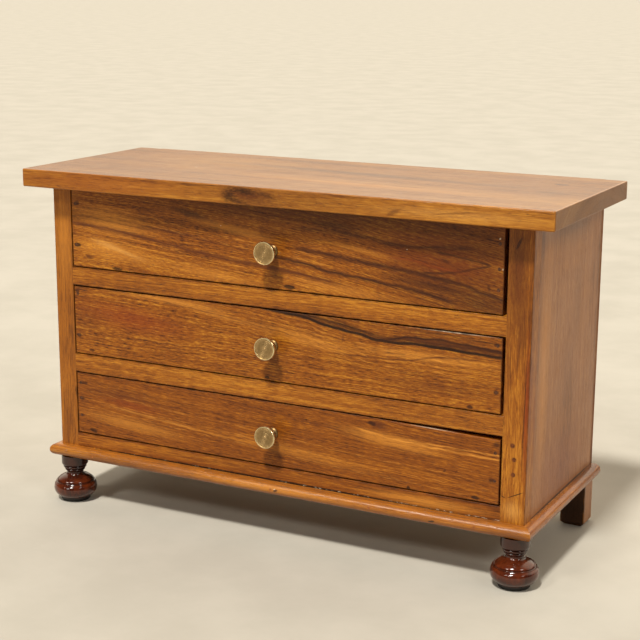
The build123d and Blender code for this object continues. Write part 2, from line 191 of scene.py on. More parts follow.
def make_sawn_wood():
    """Sawn wood, in mm along, across and through the board."""
    group, graph, given, result = make_group(
        "sawn_wood",
        [("Along", "Float"), ("Across", "Float"), ("Through", "Float"), ("Seed", "Float")]
        + [("Light", "Color"), ("Middle", "Color"), ("Dark", "Color")]
        + [("Spacing", "Float"), ("Waviness", "Float"), ("Contrast", "Float"), ("Bands", "Float")]
        + [("Fibres", "Float"), ("Fleck length", "Float"), ("Curl", "Float")]
        + [("Pith across", "Float"), ("Pith through", "Float")],
        [("Color", "Color"), ("Height", "Float"), ("Tone", "Float")],
    )
    along = graph.add(given["Along"], graph.times(given["Seed"], SEED_STEP))
    across, through = given["Across"], given["Through"]

    # The growth rings wander along the board
    wander = graph.swing(graph.stretch(along, across, through, 210.0, 75.0))
    ripple = graph.swing(graph.stretch(along, across, through, 38.0, 15.0))
    shift = graph.times(graph.add(wander, graph.times(ripple, 0.22)), given["Waviness"])
    from_pith_a = graph.add(graph.minus(across, given["Pith across"]), shift)
    from_pith_t = graph.add(graph.minus(through, given["Pith through"]), graph.times(shift, 0.6))
    squared = graph.add(graph.times(from_pith_a, from_pith_a), graph.times(from_pith_t, from_pith_t))
    rings = graph.over(graph.math("SQRT", squared), given["Spacing"])
    grown_across = graph.add(across, shift)

    growth = graph.swing(graph.join(graph.over(along, 420.0), rings, given["Seed"]), 3.0, 0.65)
    bands = graph.swing(graph.join(graph.over(along, 330.0), graph.times(rings, 0.14), given["Seed"]))
    fleck_place = graph.stretch(along, grown_across, through, given["Fleck length"], FLECK_WIDTH)
    flecks = graph.swing(fleck_place, 3.0, 0.6)
    fibres = graph.swing(graph.stretch(along, grown_across, through, 34.0, 0.7), 2.0, 0.6)
    curl = graph.swing(graph.stretch(along, across, through, 17.0, 48.0), 2.0, 0.55)
    pores = graph.noise(graph.stretch(along, grown_across, through, 5.0, 0.30), 1.0, 1.0)
    crowding = graph.swing(graph.join(graph.over(along, 200.0), rings, 5.0))
    fewest = graph.fit(crowding, -0.25, 0.25, 0.68, 0.58)
    pores = graph.fit(pores, fewest, graph.add(fewest, 0.10))

    tone = graph.add(
        0.5,
        graph.times(growth, given["Contrast"]),
        graph.times(bands, given["Bands"]),
        graph.times(graph.add(flecks, graph.times(fibres, 0.8)), given["Fibres"]),
        graph.times(curl, given["Curl"]),
    )
    tone = graph.math("ADD", tone, 0.0, clamp=True)
    low_half = graph.mix(graph.fit(tone, 0.08, 0.52), given["Dark"], given["Middle"])
    colour = graph.mix(graph.fit(tone, 0.46, 0.94), low_half, given["Light"])
    colour = graph.mix(graph.times(pores, PORE_COVER), colour, PORE)
    graph.feed(result["Color"], colour)
    graph.feed(result["Height"], graph.minus(graph.times(fibres, 0.8), graph.times(pores, 0.7)))
    graph.feed(result["Tone"], tone)
    return group


def make_spot():
    """How far inside an ellipse a place is: 1 in the middle, 0 outside, with a ragged edge.

    Push says how strongly the grain parts there: above 0 on one side of the middle, below on the other.
    """
    group, graph, given, result = make_group(
        "spot",
        [("Along", "Float"), ("Across", "Float"), ("At along", "Float"), ("At across", "Float")]
        + [("Half long", "Float"), ("Half high", "Float"), ("Tilt", "Float"), ("Soft", "Float")]
        + [("Ragged", "Float"), ("Rough", "Float")],
        [("Inside", "Float"), ("Push", "Float")],
    )
    from_along = graph.minus(given["Along"], given["At along"])
    from_across = graph.minus(given["Across"], given["At across"])
    cosine = graph.math("COSINE", given["Tilt"])
    sine = graph.math("SINE", given["Tilt"])
    along = graph.add(graph.times(from_along, cosine), graph.times(from_across, sine))
    across = graph.minus(graph.times(from_across, cosine), graph.times(from_along, sine))
    share_a = graph.over(along, given["Half long"])
    share_c = graph.over(across, given["Half high"])
    reach = graph.math("SQRT", graph.add(graph.times(share_a, share_a), graph.times(share_c, share_c)))
    rough = graph.times(given["Rough"], given["Ragged"])
    graph.feed(result["Inside"], graph.fit(graph.add(reach, rough), 1.0, graph.minus(1.0, given["Soft"])))
    near = graph.math("EXPONENT", graph.times(graph.times(reach, reach), -0.5))
    graph.feed(result["Push"], graph.times(near, share_c))
    return group


def make_arris():
    """Distance in mm from the nearest arris of a box-shaped board."""
    group, graph, given, result = make_group(
        "arris_distance",
        [("Place", "Vector"), ("Middle", "Vector"), ("Half", "Vector")],
        [("Distance", "Float")],
    )
    gaps = []
    places, middles, halves = (graph.split(given[key]) for key in ("Place", "Middle", "Half"))
    for place, middle, half in zip(places, middles, halves):
        gaps.append(graph.minus(half, graph.math("ABSOLUTE", graph.minus(place, middle))))
    a, b, c = gaps
    low = graph.math("MINIMUM", a, b)
    high = graph.math("MAXIMUM", a, b)
    graph.feed(result["Distance"], graph.math("MAXIMUM", low, graph.math("MINIMUM", high, c)))
    return group


SAWN_WOOD = make_sawn_wood()
SPOT = make_spot()
ARRIS = make_arris()

# Colours that spots, streaks and worn arrises lay over the wood: stains, and at some places painted shade,
# painted shadow and painted highlight
STAINS_AND_PAINTED_LIGHT = {
    "black": rgb(26, 11, 6),
    "dark": rgb(52, 23, 11),
    "brown": rgb(84, 40, 17),
    "red": rgb(132, 52, 18),
    "gold": rgb(222, 148, 58),
    "pale": rgb(236, 178, 96),
    "grey": rgb(92, 66, 48),
    # pale wax specks, and also painted highlights on arrises and in a nick
    "wax_and_highlight": rgb(222, 208, 182),
    "rubbed": rgb(206, 134, 60),
}

# A mark in the wood: middle and half sizes in mm along and across the board, tilt in degrees
# (positive lifts the far end), cover 0-1, soft edge 0-1, ragged edge, and mm the grain parts round it.
Spot = namedtuple("Spot", "along across half_long half_high tilt stain cover soft ragged push")


def spot(
    along, across, half_long, half_high, stain="dark", cover=0.8, tilt=0.0, soft=0.5, ragged=0.9, push=0.0,
):
    return Spot(along, across, half_long, half_high, tilt, stain, cover, soft, ragged, push)


def shade(along, across, half_long, half_high, stain, cover, tilt=0.0):
    """A broad soft change of tone in a board. Most are the wood's own tone; some are painted shade, painted
    shadow or painted highlight.
    """
    return spot(along, across, half_long, half_high, stain, cover, tilt, soft=1.0, ragged=0.35)


# A streak of the grain: the (along, across) places it runs through, half its width in mm, stain,
# cover 0-1, soft edge 0-1, the length in mm of the dashes it breaks into, the share of cover left
# between dashes, how far in mm it strays, how far in mm it fades out at each end, and how sparse its
# dashes are (from -0.3, unbroken, to 0.2).
Line = namedtuple("Line", "points half_high stain cover soft dash gaps stray fade sparse")
# Room in mm that a streak's smooth curve has above its highest and below its lowest place
LINE_MARGIN = 5.0


def line(
    points, half_high, stain="dark", cover=0.7, soft=0.9, dash=18.0, gaps=0.5, stray=3.0, fade=22.0,
    sparse=-0.12,
):
    return Line(points, half_high, stain, cover, soft, dash, gaps, stray, fade, sparse)


def echoes(points, offsets, half_high=0.9, stain="brown", cover=0.5):
    """Fainter streaks that run beside one, each moved across the board by an offset in mm."""
    streaks = []
    for offset in offsets:
        moved = [(along, across + offset) for along, across in points]
        streaks.append(line(moved, half_high, stain, cover, dash=13.0, gaps=0.0, sparse=-0.06))
    return streaks


# Tones of a wood: light, middle and dark
FIGURED = (rgb(192, 128, 38), rgb(138, 76, 18), rgb(62, 28, 10))
RUDDY = (rgb(176, 108, 28), rgb(129, 69, 16), rgb(68, 31, 10))
GOLDEN = (rgb(188, 122, 38), rgb(150, 88, 26), rgb(96, 52, 18))
RAIL = (rgb(184, 119, 36), rgb(141, 80, 21), rgb(84, 43, 15))
TOP = (rgb(184, 124, 44), rgb(150, 92, 30), rgb(92, 52, 20))
SIDE = (rgb(182, 121, 56), rgb(151, 93, 41), rgb(102, 60, 28))
BLOCK = (rgb(182, 130, 84), rgb(150, 100, 64), rgb(98, 62, 38))
SECONDARY = (rgb(196, 158, 108), rgb(166, 126, 82), rgb(124, 88, 55))

# Streaks that others run beside
UPPER_STREAK = [(-222, 268), (-149, 261), (-83, 252), (-37, 247), (11, 243), (70, 235)]
MIDDLE_VEIN = [
    (-34, 212), (5, 207), (28, 205), (50, 200), (79, 196.5), (103, 193), (130, 193.8), (165, 193),
    (187, 192), (235, 191),
]
LOWER_STREAK = [(-215, 121), (-120, 114), (-20, 108), (60, 102), (140, 99), (235, 96)]

# How each board differs from the plain settings of its slot. Its spots and lines are placed along and
# across it, its face_spots by x and z on its front; flow is a line that the grain near its top follows.
BOARDS = {
    "upper_drawer_front": dict(
        tones=FIGURED, slope=-0.115, bend=-0.00022, waviness=10.0, contrast=0.55, bands=0.35, spacing=4.2,
        pith=(-60.0, -40.0), fibres=1.15, fleck_length=5.0, curl=0.3, seed=1.3, worn=0.1, dirt_and_gap_shade=0.8,
        spots=[
            # painted shadow of the top board's overhang across the upper edge of the drawer front
            shade(40, 303, 260, 34, "dark", 0.80),
            shade(165, 262, 110, 64, "dark", 0.62, tilt=-6),
            shade(150, 266, 90, 30, "red", 0.25, tilt=-6),
            shade(-168, 270, 64, 18, "gold", 0.42, tilt=-6),
            shade(-165, 244, 70, 14, "gold", 0.35, tilt=-6),
            shade(-60, 233, 80, 8, "gold", 0.30, tilt=-6),
            shade(-172, 249, 26, 5, "pale", 0.30, tilt=-12),
            shade(-150, 243, 30, 3, "pale", 0.25, tilt=-14),
            shade(60, 233, 80, 7, "gold", 0.25, tilt=-5),
            shade(150, 243, 70, 6, "dark", 0.60, tilt=-7),
            shade(190, 232, 44, 10, "dark", 0.60, tilt=-4),
            spot(-82, 284, 30, 5.0, "dark", 0.75, tilt=-10, soft=0.9),
            spot(56, 285, 44, 6.0, "dark", 0.60, tilt=-5, soft=0.9),
            shade(-40, 274, 60, 6.0, "gold", 0.35, tilt=-8),
            shade(75, 268, 56, 4.0, "gold", 0.22, tilt=-8),
            spot(-205, 246.5, 4.8, 2.3, "black", 0.85, tilt=-4, soft=0.4, ragged=0.5, push=1.2),
            spot(-204.6, 284.6, 3.8, 2.6, "dark", 0.75, ragged=0.6, push=0.8),
            spot(-192.3, 236.6, 6.5, 2.8, "brown", 0.8, tilt=-5, soft=0.8),
            spot(-162, 228.2, 7.0, 2.0, "black", 0.8, tilt=-5),
            spot(14, 229.6, 7.0, 2.2, "black", 0.85, tilt=-4, soft=0.4, ragged=0.5, push=1.4),
            # painted shadow of the knob, just below it
            spot(0, 238, 8.0, 4.0, "dark", 0.45, tilt=-30, soft=0.9),
            spot(156, 265, 7.0, 2.6, "dark", 0.60, tilt=-20, soft=0.9),
            spot(193, 247, 2.0, 4.0, "dark", 0.60, tilt=20, soft=0.8),
            spot(201.2, 287.0, 1.1, 0.8, "wax_and_highlight", 0.8, tilt=30, soft=0.6),
            spot(204.4, 262.8, 0.7, 1.0, "wax_and_highlight", 0.6, soft=0.6),
            spot(-53, 276.5, 0.8, 0.5, "wax_and_highlight", 0.6, soft=0.6),
            spot(122, 271.5, 0.9, 0.5, "wax_and_highlight", 0.5, soft=0.6),
        ],
        lines=[
            line(UPPER_STREAK, 3.4, "brown", 0.90, soft=1.0, dash=40, gaps=0.7),
            line([(-140, 270), (-94, 266), (-60, 261), (-15, 257)], 2.4, "brown", 0.65, soft=1.0),
            line([(-215, 275), (-140, 268), (-90, 262)], 1.4, "brown", 0.45, soft=1.0),
            line(
                [(8, 265), (65, 259), (110, 255), (143, 251), (170, 247), (189, 242), (225, 234)],
                3.6, "dark", 0.88, soft=1.0, dash=40, gaps=0.7,
            ),
            line(
                [(-20, 256), (28, 251), (50, 247), (97, 242), (139, 237), (175, 228)],
                3.0, "dark", 0.92, soft=1.0, dash=40, gaps=0.75,
            ),
            line(
                [(10, 281), (77, 279), (122, 274), (148, 275), (190, 279)],
                3.6, "dark", 0.70, soft=1.0, dash=30, gaps=0.6,
            ),
            line(
                [(146, 272), (170, 269), (184, 267), (196, 264.8)],
                1.6, "dark", 0.85, dash=30, gaps=0.6, stray=1.0, fade=5.0,
            ),
            line(
                [(134, 254), (162, 256), (180, 261), (196, 264.8)],
                1.6, "dark", 0.80, dash=30, gaps=0.6, stray=1.0, fade=5.0,
            ),
            line([(90, 262), (120, 263), (150, 259), (185, 256)], 1.6, "red", 0.30),
            *echoes(UPPER_STREAK, (22, 16, 11, 7.5, -6.5, -11)),
            *echoes(UPPER_STREAK, (19, 13, -4, -9), 0.9, "gold", 0.38),
        ],
    ),
    "middle_drawer_front": dict(
        tones=FIGURED, waviness=9.0, contrast=0.50, bands=0.30, spacing=3.4, pith=(60.0, -46.0), fibres=1.2,
        fleck_length=6.0, curl=0.3, seed=4.1, worn=0.1, dirt_and_gap_shade=0.8,
        flow=[(-215, 219), (-100, 215), (0, 207), (50, 200), (100, 193), (150, 193.5), (215, 191.5)],
        spots=[
            shade(-150, 184, 90, 18, "red", 0.50, tilt=-5),
            shade(-200, 178, 40, 26, "brown", 0.25),
            shade(140, 203, 90, 7, "brown", 0.40, tilt=-2),
            shade(62, 205, 26, 3.6, "dark", 0.60, tilt=-12),
            shade(150, 197, 60, 3.4, "brown", 0.70, tilt=-1),
            shade(140, 184, 90, 7, "gold", 0.40, tilt=-1),
            shade(150, 160, 80, 8, "brown", 0.35, tilt=-1),
            shade(-110, 205, 90, 5, "gold", 0.40, tilt=-3),
            shade(-60, 198, 70, 5.0, "gold", 0.28, tilt=-8),
            shade(30, 186, 70, 9.0, "gold", 0.35, tilt=-8),
            spot(-207, 203.3, 3.2, 2.4, "dark", 0.75, ragged=0.6),
            spot(-206.5, 162.1, 3.6, 2.4, "dark", 0.85, ragged=0.5, push=1.0),
            spot(-192.2, 149.2, 3.8, 1.6, "dark", 0.8, tilt=-4, ragged=0.6),
            spot(-7.6, 147.6, 3.2, 1.4, "black", 0.8, ragged=0.6),
            spot(201.5, 201.4, 3.4, 2.0, "dark", 0.7, ragged=0.6),
            spot(202.2, 162.6, 3.0, 2.2, "dark", 0.75, ragged=0.6),
            spot(180.0, 147.4, 3.6, 2.0, "dark", 0.85, ragged=0.5),
            spot(65, 191, 1.6, 5.0, "brown", 0.55, tilt=-14, soft=0.8),
        ],
        face_spots=[
            # painted highlight along the top arris of the drawer front
            shade(165, 207.8, 46, 0.9, "wax_and_highlight", 0.80),
        ],
        lines=[
            line(
                [(-34, 213), (5, 209), (28, 207), (50, 202.5), (79, 199),
                 (103, 195.5), (130, 196), (235, 194)],
                4.2, "dark", 0.75, soft=1.0, dash=60, gaps=0.7,
            ),
            line(MIDDLE_VEIN, 1.9, "black", 1.0, soft=0.7, dash=90, gaps=0.9, stray=2.0),
            line(
                [(10, 209.5), (50, 204.5), (77, 200.5), (104, 195)],
                1.6, "black", 0.80, dash=30, gaps=0.7,
            ),
            line(
                [(88, 191), (112, 196), (130, 199), (165, 199), (190, 197), (235, 194)],
                2.0, "dark", 0.95, dash=40, gaps=0.8,
            ),
            line([(110, 206), (160, 204.5), (200, 202), (235, 200)], 1.4, "dark", 0.60),
            line([(50, 177), (101, 178), (124, 179), (145, 184), (200, 187)], 1.5, "brown", 0.85),
            line([(-150, 206), (-90, 201), (-20, 193), (40, 184)], 1.0, "brown", 0.50),
            line([(-215, 199), (-120, 194), (-60, 186), (-20, 181)], 1.0, "dark", 0.30),
            line([(100, 168), (150, 169), (215, 166)], 1.4, "brown", 0.45),
            *echoes(MIDDLE_VEIN, (-5, -9, -13, -18, -24, -31, -38)),
            *echoes(MIDDLE_VEIN, (-7, -11, -16, -21), 1.1, "gold", 0.45),
        ],
    ),
    "lower_drawer_front": dict(
        tones=RUDDY, slope=-0.05, waviness=7.0, contrast=0.45, bands=0.30, spacing=3.0, pith=(10.0, -70.0),
        fibres=1.1, fleck_length=7.0, curl=0.25, seed=7.7, worn=0.1, dirt_and_gap_shade=0.8,
        spots=[
            shade(-160, 110, 64, 9, "brown", 0.50, tilt=-4),
            shade(-150, 102, 44, 7, "red", 0.45, tilt=-4),
            shade(-150, 84, 80, 9, "gold", 0.35, tilt=-4),
            shade(20, 84, 120, 8, "gold", 0.22, tilt=-4),
            shade(110, 108, 70, 9, "gold", 0.45, tilt=-5),
            spot(-203, 116.5, 6.5, 2.0, "dark", 0.75, tilt=8, soft=0.6),
            spot(-205.3, 101.7, 3.4, 2.2, "dark", 0.75),
            spot(-205.4, 85.2, 3.2, 2.0, "brown", 0.85),
            spot(-193.3, 72.2, 5.0, 2.4, "black", 0.75, tilt=-8),
            spot(201.3, 88.3, 4.4, 1.8, "dark", 0.8),
            spot(187.1, 71.4, 5.2, 1.9, "black", 0.85, tilt=-4, ragged=0.7, push=1.0),
            spot(159.5, 90, 2.6, 1.2, "dark", 0.6, tilt=35, soft=0.6),
            spot(170, 91, 2.4, 1.0, "dark", 0.5, tilt=45, soft=0.6),
            spot(99, 120.5, 11.0, 4.6, "brown", 0.75, tilt=-10, soft=0.7, ragged=0.8, push=3.0),
            spot(93, 120.8, 5.0, 2.6, "dark", 0.85, tilt=-10, soft=0.6, ragged=0.6),
            spot(127.3, 68.8, 2.0, 3.2, "black", 0.8, soft=0.4),
            spot(30.7, 115, 1.6, 1.0, "dark", 0.7),
            spot(204, 119, 5, 3.4, "dark", 0.75, soft=0.8),
        ],
        face_spots=[
            # painted highlight along the top arris of the drawer front
            shade(166, 124.8, 46, 0.9, "wax_and_highlight", 0.80),
        ],
        lines=[
            line([(-215, 121), (-120, 113), (-40, 105), (30, 98)], 1.2, "dark", 0.35),
            line([(-60, 121), (40, 113), (110, 103), (170, 99)], 1.2, "brown", 0.50),
            line([(-110, 90), (-20, 83), (60, 77), (140, 74)], 1.1, "brown", 0.45),
            line([(40, 92), (120, 88), (200, 84)], 1.1, "dark", 0.35),
            line([(110, 116), (160, 112), (215, 109)], 1.2, "brown", 0.50),
            line([(70, 116), (110, 110.5), (160, 108), (225, 106)], 1.6, "gold", 0.70, gaps=0.2),
            line([(110, 112), (160, 110.5), (225, 110)], 1.2, "gold", 0.60, gaps=0.2),
            line([(-190, 99), (-120, 93), (-40, 86)], 1.8, "gold", 0.45, gaps=0.2),
            *echoes(LOWER_STREAK, (-7, -14, -21, -29, 7)),
            *echoes(LOWER_STREAK, (-10, -18, -25), 1.0, "gold", 0.32),
        ],
    ),
    "upper_divider_rail": dict(
        tones=RAIL, slope=-0.02, waviness=6.0, contrast=0.8, bands=0.9, fibres=1.1, fleck_length=9.0,
        seed=2.6, pith=(0.0, -90.0), worn=0.0, dirt_and_gap_shade=0.7,
        spots=[
            shade(-60, 218, 100, 6, "red", 0.40),
            spot(-25.1, 219.6, 2.6, 0.9, "dark", 0.75),
            spot(30, 225.0, 8.0, 0.8, "black", 0.7, tilt=-2),
            shade(150, 218, 70, 5, "pale", 0.28),
        ],
    ),
    "lower_divider_rail": dict(
        tones=RAIL, slope=0.03, waviness=7.0, contrast=0.8, bands=0.8, fibres=1.1, fleck_length=9.0,
        seed=5.2, pith=(0.0, -90.0), worn=0.0, dirt_and_gap_shade=0.7,
        spots=[
            shade(-40, 136, 60, 6, "red", 0.25),
            shade(130, 138, 90, 9, "gold", 0.60),
            spot(60, 131, 40, 1.0, "brown", 0.4, tilt=1, soft=0.9),
        ],
    ),
    "bottom_rail": dict(
        tones=RUDDY, waviness=6.0, contrast=0.9, bands=0.9, fibres=1.1, seed=6.4, pith=(0.0, -80.0),
        worn=0.0, dirt_and_gap_shade=0.7,
        spots=[
            spot(0, 55.0, 236, 1.6, "black", 0.92, soft=0.4),
            shade(140, 60, 80, 7, "gold", 0.50),
            spot(120, 58, 44, 0.9, "brown", 0.5, tilt=2, soft=0.9),
            shade(-60, 62, 120, 4, "brown", 0.3),
        ],
        lines=[
            line(
                [(-170, 55.4), (-40, 55.4)],
                0.6, "wax_and_highlight", 0.45, soft=0.6, dash=3.0, gaps=0.0, stray=0.3, sparse=0.04,
            ),
            line(
                [(0, 55.4), (225, 55.4)],
                0.7, "wax_and_highlight", 0.80, soft=0.6, dash=3.4, gaps=0.0, stray=0.3, sparse=0.03,
            ),
        ],
    ),
    "left_front_stile": dict(
        tones=GOLDEN, waviness=3.5, contrast=0.6, bands=0.7, fibres=0.9, seed=3.3, pith=(-300.0, -20.0),
        worn=0.1, dirt_and_gap_shade=0.35,
        spots=[
            shade(250, -220, 60, 14, "gold", 0.25),
            shade(75, -222, 44, 7, "brown", 0.45),
            spot(82, -219, 22, 1.2, "brown", 0.5, tilt=4, soft=0.8),
            spot(108, -211.6, 7.0, 1.6, "dark", 0.7, soft=0.6),
        ],
    ),
    "right_front_stile": dict(
        tones=RAIL, waviness=12.0, contrast=1.1, bands=1.3, spacing=3.2, seed=8.9, pith=(216.0, -62.0),
        fibres=1.1, fleck_length=10.0, worn=0.1, dirt_and_gap_shade=0.45,
        spots=[
            shade(262, 217, 84, 18, "brown", 0.85),
            shade(215, 222, 40, 7, "brown", 0.5),
            shade(150, 228, 90, 3.5, "red", 0.70),
            shade(190, 212, 40, 4.0, "brown", 0.40),
            spot(284.5, 217, 6.5, 1.6, "dark", 0.8, tilt=26, ragged=0.6, push=1.5),
            spot(150, 226.5, 66, 0.9, "dark", 0.65, tilt=0.8, soft=0.7),
            spot(176, 214, 26, 1.0, "brown", 0.5, tilt=-4, soft=0.8),
            spot(196, 220, 20, 1.0, "brown", 0.5, tilt=5, soft=0.8),
            spot(76.4, 211.2, 0.5, 2.4, "black", 0.85, tilt=22, soft=0.4, ragged=0.4),
            spot(79.4, 221.4, 0.5, 9.2, "black", 0.85, tilt=-26, soft=0.4, ragged=0.4),
            shade(66, 219, 12, 12, "pale", 0.30),
            spot(120.6, 217.7, 2.9, 2.9, "brown", 0.55, soft=0.4, ragged=0.3),
            spot(109.1, 219.4, 2.6, 2.6, "dark", 0.5, ragged=0.3),
            spot(96.3, 219.0, 2.6, 2.6, "dark", 0.55, ragged=0.3),
        ],
    ),
    "top_board": dict(
        tones=TOP, slope=-0.03, waviness=12.0, contrast=0.65, bands=0.8, spacing=4.6, fibres=1.0, seed=9.4,
        pith=(30.0, 180.0), roughness=0.36, top_coat=0.9, worn=0.22, end_stain="grey",
        spots=[
            shade(36, 19, 240, 13, "brown", 0.62, tilt=-5),
            shade(-40, 70, 160, 12, "brown", 0.30, tilt=-3),
            shade(60, -42, 190, 14, "gold", 0.35, tilt=-4),
            spot(-120, -12, 1.8, 1.4, "wax_and_highlight", 0.9, soft=0.4),
            spot(-99, -47, 14, 2.0, "dark", 0.55, soft=0.8),
            spot(210, 41, 8.0, 5.5, "brown", 0.7, ragged=0.5, push=4.0),
            spot(206, 42, 2.6, 1.8, "dark", 0.75),
            spot(160, -62, 22, 1.4, "brown", 0.5, soft=0.8),
        ],
        face_spots=[
            shade(-170, 307, 130, 16, "red", 0.38),
            shade(-150, 307, 90, 6, "gold", 0.15),
            shade(20, 307, 110, 16, "brown", 0.35),
            shade(170, 306, 100, 7, "pale", 0.20),
            spot(-15, 307, 38, 11, "brown", 0.85, tilt=-8, soft=1.0),
            spot(-34, 306, 10, 9.0, "black", 0.75, tilt=-20, soft=1.0, ragged=1.0),
            spot(-20, 311, 20, 4.6, "black", 0.80, tilt=-6, soft=1.0, ragged=1.0),
            spot(-26, 302, 16, 3.6, "dark", 0.75, tilt=-10, soft=1.0, ragged=1.0),
            spot(2, 309, 15, 3.4, "dark", 0.65, tilt=-12, soft=1.0, ragged=1.0),
            spot(70, 313, 20, 1.4, "brown", 0.6, tilt=-3, soft=0.8),
            spot(118, 304, 12, 3.0, "brown", 0.55, tilt=25, soft=0.8),
            spot(170, 307, 30, 1.2, "brown", 0.5, tilt=6, soft=0.8),
        ],
    ),
    "front_base_moulding": dict(
        tones=GOLDEN, waviness=4.0, contrast=0.8, bands=0.8, seed=10.8, pith=(0.0, 130.0), roughness=0.24,
        gleam=0.4, coat=0.2,
        face_spots=[
            shade(-170, 49, 90, 8, "brown", 0.40),
            shade(225, 49, 30, 8, "brown", 0.45),
            shade(-243, 49, 6, 9, "dark", 0.80),
            # painted highlight: lightens the middle of the moulding's front
            shade(0, 50, 110, 7, "gold", 0.40),
            spot(152.3, 47.4, 3.6, 1.3, "black", 0.85, tilt=10),
            spot(5.0, 49.0, 3.0, 1.4, "dark", 0.85, tilt=20),
            # painted highlight in the nick
            spot(4.0, 50.2, 1.2, 0.5, "wax_and_highlight", 0.8, tilt=20),
            # painted shade along the moulding's lower edge
            shade(0, 43.5, 260, 3.0, "dark", 0.75),
        ],
    ),
    "left_base_moulding": dict(
        tones=GOLDEN, seed=11.2, pith=(0.0, 130.0), roughness=0.26, gleam=0.3, coat=0.3,
        face_spots=[
            shade(-243, 49, 7, 9, "black", 0.85),
        ],
    ),
    "right_base_moulding": dict(
        tones=RUDDY, seed=12.6, pith=(0.0, 130.0), roughness=0.26, gleam=0.3, coat=0.3,
    ),
    "left_side_panel": dict(
        tones=SIDE, waviness=7.0, contrast=0.6, bands=0.75, spacing=3.0, fibres=0.8, fleck_length=12.0,
        seed=13.5, pith=(13.0, -380.0), roughness=0.42, gleam=0.35, coat=0.15,
    ),
    "right_side_panel": dict(
        tones=SIDE, waviness=7.0, contrast=0.6, bands=0.75, spacing=3.0, fibres=0.8, fleck_length=12.0,
        seed=14.9, pith=(13.0, 90.0), roughness=0.42, gleam=0.35, coat=0.15,
        spots=[
            shade(180, -48, 150, 20, "gold", 0.40),
            shade(215, 34, 60, 16, "brown", 0.25),
            shade(80, 0, 46, 90, "red", 0.30),
            # painted shadow of the top board's overhang along the top of the side panel
            shade(286, 13, 22, 90, "dark", 0.42),
            shade(285, -60, 26, 8, "brown", 0.5),
            spot(55.4, 10, 1.3, 100, "black", 0.85, soft=0.4),
        ],
    ),
    "back_panel": dict(
        tones=SIDE, waviness=9.0, contrast=0.7, bands=0.8, seed=15.7, coat=0.0, roughness=0.55,
    ),
    "rear_left_foot": dict(tones=BLOCK, seed=16.3, contrast=0.5, bands=0.5),
    "rear_right_foot": dict(
        tones=BLOCK, seed=17.1, contrast=0.5, bands=0.5,
        face_spots=[
            # painted shade on the foot's front face, which stands under the chest
            shade(220, 20, 90, 90, "black", 0.9),
        ],
    ),
}


def box_of(name):
    low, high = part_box(name)
    return Vector(low) * PER_METRE, Vector(high) * PER_METRE


def place_in_mm(graph):
    scaled = graph.node("ShaderNodeVectorMath", operation="SCALE")
    graph.feed(scaled.inputs[0], graph.node("ShaderNodeTexCoord").outputs["Object"])
    scaled.inputs["Scale"].default_value = PER_METRE
    return scaled.outputs[0]


def board_axes(size):
    """Axis numbers along, across and through a board: its longest, middle and shortest sides."""
    return sorted(range(3), key=lambda axis: -size[axis])


def lay_spots(graph, spots, along, across, layers):
    """Adds (cover, stain) layers for marks. Gives how far they push the grain aside."""
    push = 0.0
    rough = graph.swing(graph.stretch(along, across, 0.0, 3.2, 1.3), 3.0, 0.6)
    for mark in spots:
        made = graph.node("ShaderNodeGroup", node_tree=SPOT)
        for socket, value in (
            ("Along", along), ("Across", across), ("At along", mark.along), ("At across", mark.across),
            ("Half long", mark.half_long), ("Half high", mark.half_high),
            ("Tilt", math.radians(mark.tilt)), ("Soft", mark.soft), ("Ragged", mark.ragged),
            ("Rough", rough),
        ):
            graph.feed(made.inputs[socket], value)
        layers.append((graph.times(made.outputs["Inside"], mark.cover), STAINS_AND_PAINTED_LIGHT[mark.stain]))
        if mark.push:
            push = graph.add(push, graph.times(made.outputs["Push"], -mark.push))
    return push


def lay_lines(graph, lines, along, across, layers):
    """Adds (cover, stain) layers for drawn streaks, which fade out at both ends."""
    wobble = graph.swing(graph.stretch(along, across, 0.0, 15.0, 7.0))
    for streak in lines:
        heights = [height for _, height in streak.points]
        drawn = graph.curve(along, streak.points, min(heights) - LINE_MARGIN, max(heights) + LINE_MARGIN)
        off = graph.add(graph.minus(across, drawn), graph.times(wobble, streak.stray))
        narrow = streak.half_high * (1.0 - streak.soft)
        inside = graph.fit(graph.math("ABSOLUTE", off), streak.half_high, narrow)
        first, last = streak.points[0][0], streak.points[-1][0]
        faded = graph.times(
            graph.fit(along, first, first + streak.fade), graph.fit(along, last, last - streak.fade)
        )
        broken = graph.swing(graph.stretch(along, off, streak.half_high, streak.dash, 1.2), 3.0, 0.65)
        unbroken = graph.fit(broken, streak.sparse, streak.sparse + 0.2, streak.gaps, 1.0)
        cover = graph.times(graph.times(inside, faded), unbroken)
        layers.append((graph.times(cover, streak.cover), STAINS_AND_PAINTED_LIGHT[streak.stain]))


